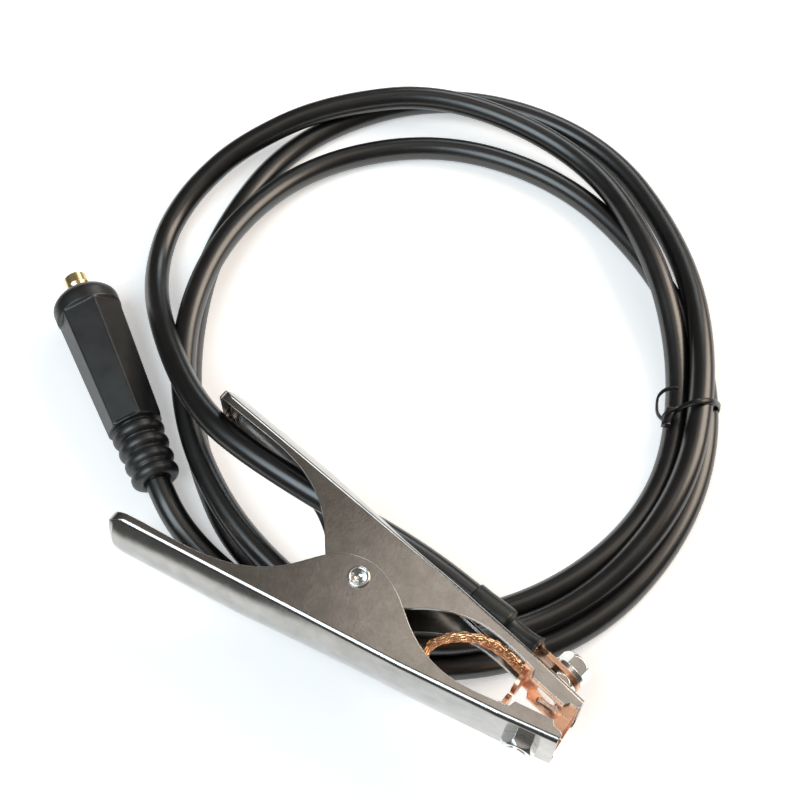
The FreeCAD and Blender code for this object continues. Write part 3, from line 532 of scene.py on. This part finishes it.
# (distance from the tail, radius) of the grip and the rounded front down into the pin's hole
GRIP_ROWS = (
    (23.2, 7.7), (23.25, 9.2), (23.5, 9.9), (24.0, 10.35), (24.8, 10.55), (30.0, 10.75), (40.0, 11.1),
    (50.0, 11.5), (60.0, 11.85), (70.0, 12.2), (74.3, 12.35), (74.85, 12.4), (75.15, 12.42),
    (75.6, 12.45), (77.5, 12.5), (79.0, 12.5), (80.0, 12.35), (80.9, 12.0), (81.8, 11.4), (82.6, 10.7),
    (83.4, 9.8), (84.1, 8.9), (84.6, 8.1), (84.9, 7.2), (85.0, 6.2), (85.0, 5.0), (84.8, 4.2),
    (84.4, 3.75), (83.0, 3.55), (79.0, 3.5),
)


def plug_rows():
    """The cable's way in, the ribs and the grip."""
    shoulder = [math.pi / 2 * step / (ARC_POINTS - 1) for step in range(ARC_POINTS)]
    rows = [(1.5, 4.65), (0.1, 4.7)]
    first_full = len(rows) + 2 * ARC_POINTS  # the first rib's shoulders may go below the floor
    for index, radius in enumerate(RIB_RADII):
        start = index * RIB_PITCH
        end = start + RIB_LENGTH
        for turn in shoulder:
            rows.append((start + RIB_ROUND * (1 - math.cos(turn)), radius - RIB_ROUND * (1 - math.sin(turn))))
        for turn in shoulder:
            rows.append((end - RIB_ROUND * (1 - math.sin(turn)), radius - RIB_ROUND * (1 - math.cos(turn))))
        rows.append((start + (RIB_PITCH + RIB_LENGTH) / 2, RIB_FLOOR))
    others = [(place, max(radius, RIB_FLOOR)) for place, radius in rows[first_full:]]
    return rows[:first_full] + others + list(GRIP_ROWS)


def plug_radius(row, angle):
    """Radius at a row, less where a flat cuts it, with soft edges."""
    place, radius = row
    if not FLAT_START < place < FLAT_END:
        return radius
    sector = 2 * math.pi / FLAT_COUNT
    off = (angle + sector / 2) % sector - sector / 2
    flat = (FLAT_LOW + FLAT_GROWTH * (place - FLAT_START)) / math.cos(off)
    blend = max(FLAT_SOFT - abs(radius - flat), 0.0) / FLAT_SOFT
    return min(radius, flat) - blend * blend * FLAT_SOFT / 4


def make_plug():
    points, faces = lathe(PLUG_TAIL, PLUG_WAY, PLUG_TOP, plug_rows(), plug_radius, PLUG_AROUND)
    plug = make_piece("plug_grip", points, faces, PLUG, ["plug_body"])
    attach(plug, ROOT)
    return plug


RIVET_AROUND = 72
# (distance from the middle of the clamp, radius) from the rivet's shaft over its rolled head into the dish
RIVET_ROWS = (
    (0.0, 3.0), (13.4, 3.0), (13.41, 3.4), (13.5, 3.56), (13.7, 3.6), (13.9, 3.58), (14.08, 3.46),
    (14.18, 3.25), (14.2, 3.0), (14.17, 2.78), (14.05, 2.58), (13.8, 2.38), (13.3, 1.95), (12.8, 1.45),
    (12.5, 1.1), (12.4, 0.7), (12.36, 0.02),
)


def make_rivet():
    """Rivet with a smooth rolled head at both ends."""
    rows = [(-place, radius) for place, radius in reversed(RIVET_ROWS[1:])] + list(RIVET_ROWS)
    points, faces = lathe((0, 0, 0), (0, 0, 1), (1, 0, 0), rows, lambda row, angle: row[1], RIVET_AROUND)
    rivet = make_piece("rolled_rivet", points, faces, BRIGHT, ["pivot_rivet"])
    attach(rivet, ROOT)


SLEEVE_ORIGIN = (31.0, 19.7, 0.0)
SLEEVE_WAY = (1.0, -0.0926, 0.0)
SLEEVE_AROUND = 64
WRINKLE_END = 25.0
# (distance from the end on the cable, radius): over the cable, down a step, over the lug's barrel, flared
SLEEVE_ROWS = (
    (1.0, 4.62), (-0.4, 4.66), (-0.48, 4.9), (-0.3, 5.12), (0.2, 5.2), (4.0, 5.16), (9.0, 5.2), (13.0, 5.25),
    (13.7, 5.2), (14.0, 4.95), (14.2, 4.4), (14.5, 3.8), (15.2, 3.35), (16.5, 3.2), (19.0, 3.14),
    (22.0, 3.16), (23.6, 3.35), (24.8, 3.65), (25.7, 3.95), (25.85, 3.8), (25.2, 3.2), (23.0, 2.75),
)


def sleeve_radius(row, angle):
    """A slightly wrinkled round, plain at the ends."""
    place, radius = row
    if not 0 < place < WRINKLE_END:
        return radius
    return radius + 0.05 * math.sin(3 * angle + 0.5 * place) + 0.03 * math.sin(7 * angle - 0.9 * place)


def make_sleeve():
    points, faces = lathe(SLEEVE_ORIGIN, SLEEVE_WAY, (0, 0, 1), SLEEVE_ROWS, sleeve_radius, SLEEVE_AROUND)
    sleeve = make_piece("shrink_sleeve", points, faces, SHRINK, ["heat_shrink_sleeve"])
    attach(sleeve, ROOT)


# (X, Y, width, thickness) along the middle of the braid, from the upper insert to the lower one
BRAID_STATIONS = (
    (57.0, 8.6, 10.0, 2.0), (51.5, 9.8, 9.6, 2.0), (45.5, 10.1, 8.4, 2.2), (39.5, 8.9, 6.6, 2.4),
    (34.0, 5.7, 5.0, 2.6), (29.9, 1.3, 4.4, 2.8), (28.4, -3.4, 4.6, 2.8), (31.2, -7.8, 5.6, 2.6),
    (37.0, -10.0, 7.0, 2.4), (46.5, -10.2, 9.0, 2.2), (56.9, -8.5, 10.0, 2.0),
)
STATION_STEPS = 28
STRANDS = 9  # in each direction
STRAND_RADIUS = 0.46
STRAND_SIDES = 6
BRAID_PITCH = 50.0  # length in which a strand goes once round
WEAVE = 0.2  # how far a strand goes over and under the others
LOOSENESS = 0.12  # how far a strand strays from its place


def braid_strand(stations, middles, direction, number):
    """Points along one strand that winds about the flat section of the braid."""
    line = []
    run = 0.0
    for index, middle in enumerate(middles):
        width, thick = stations[index][2:]
        before, after = middles[max(index - 1, 0)], middles[min(index + 1, len(middles) - 1)]
        way = (after - before).normalized()
        out = Vector((-way.y, way.x, 0.0))
        run += (middle - before).length
        angle = 2 * math.pi * (number / STRANDS + direction * run / BRAID_PITCH)
        weave = direction * WEAVE * math.cos(2 * math.pi * STRANDS * run / BRAID_PITCH)
        loose = LOOSENESS * math.sin(1.7 * number + 0.35 * run)
        half_width = width / 2 - STRAND_RADIUS + weave + loose
        half_thick = thick / 2 - STRAND_RADIUS + weave + loose
        line.append(middle + Vector((0, 0, half_width * math.cos(angle)))
                    + out * (half_thick * math.sin(angle)))
    return line


def make_braid():
    """Tube woven of strands that cross over and under, pressed flat."""
    stations = smooth_path(BRAID_STATIONS, STATION_STEPS)
    middles = [Vector((*station[:2], 0.0)) for station in stations]
    points, faces = [], []
    for direction in (1, -1):
        for number in range(STRANDS):
            line = braid_strand(stations, middles, direction, number)
            rings, quads = tube(line, STRAND_RADIUS, STRAND_SIDES, len(points))
            points += rings
            faces += quads
    braid = make_piece("woven_braid", points, faces, BRAID, ["braid_strap"])
    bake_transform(braid)


def make_spring():
    """Copy of the spring's mesh, shaded smooth, in place of the CAD spring."""
    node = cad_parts["torsion_spring"]
    points = [tuple(node.matrix_world @ vertex.co / MM) for vertex in node.data.vertices]
    faces = [tuple(polygon.vertices) for polygon in node.data.polygons]
    spring = make_piece("pivot_spring", points, faces, SPRING, ["torsion_spring"])
    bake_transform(spring)


# The cable tie, with heights over the ground
TIE_BAND = (
    (49.4, 122.8, 0.9), (47.6, 123.6, 2.2), (46.6, 124.4, 6.0), (46.5, 125.0, 9.5), (47.3, 126.6, 12.8),
    (48.6, 128.4, 15.6), (51.2, 131.0, 17.9), (54.0, 133.8, 18.4), (56.6, 137.0, 16.2), (58.4, 139.9, 11.6),
    (59.2, 141.6, 7.0), (59.0, 141.6, 3.2), (57.6, 140.4, 0.9),
)
TIE_TAIL = (
    (46.6, 123.6, 11.4), (45.2, 122.9, 11.6), (42.6, 123.7, 12.0), (40.6, 126.3, 12.8), (39.5, 129.2, 13.8),
    (40.5, 132.4, 14.8), (43.7, 135.1, 15.4),
)
TIE_KNOT = (
    (47.6, 120.9, 12.2), (47.2, 121.7, 12.3), (46.6, 123.4, 12.8), (46.2, 125.6, 13.2), (46.0, 126.6, 13.2),
)
TIE_LOOP = (
    (46.9, 121.6, 13.6), (45.7, 122.6, 14.6), (46.0, 125.2, 15.4), (47.4, 127.6, 15.2), (48.4, 128.4, 13.4),
)
# path, steps between its points, direction of the width, width, thickness
TIE_STRAPS = (
    (TIE_BAND, 6, Vector((0.34, -0.94, 0)), 2.1, 0.95),
    (TIE_TAIL, 6, Vector((0, 0, 1)), 1.8, 0.9),
    (TIE_KNOT, 5, Vector((1, 0, 0)), 3.4, 3.2),
    (TIE_LOOP, 5, Vector((1, 1, 0)), 2.0, 1.3),
)
# Section of a strap with bevelled edges, in widths and thicknesses
STRAP_SECTION = (
    (-0.5, -0.3), (-0.4, -0.5), (0.4, -0.5), (0.5, -0.3), (0.5, 0.3), (0.4, 0.5), (-0.4, 0.5), (-0.5, 0.3),
)


def strap(points, broad, width, thick, first):
    """Rings and faces of a closed flat band along a path; broad is the direction of its width."""
    rings = []
    for index, point in enumerate(points):
        way = (points[min(index + 1, len(points) - 1)] - points[max(index - 1, 0)]).normalized()
        side = (broad - way * broad.dot(way)).normalized()
        face = way.cross(side)
        rings += [point + side * (across * width) + face * (up * thick) for across, up in STRAP_SECTION]
    around = len(STRAP_SECTION)
    faces = ring_faces(len(points), around, first)
    last = first + (len(points) - 1) * around
    faces.append(tuple(first + index for index in reversed(range(around))))
    faces.append(tuple(last + index for index in range(around)))
    return rings, faces


def make_tie():
    """Band round the turns with its knot, its loop and its bent tail."""
    lift = Vector((0, 0, GROUND / MM))
    points, faces = [], []
    for path, steps, broad, width, thick in TIE_STRAPS:
        line = [Vector(place) + lift for place in smooth_path(path, steps)]
        rings, quads = strap(line, broad, width, thick, len(points))
        points += rings
        faces += quads
    tie = make_piece("nylon_tie", points, faces, NYLON, ["cable_tie"])
    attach(tie, ROOT)
    return tie


make_rivet()
make_sleeve()
make_braid()
make_spring()
plug_inside = [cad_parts[name] for name in ("plug_pin", "plug_core", "plug_grub_screw")]
make_cable([make_plug(), make_tie()] + plug_inside)
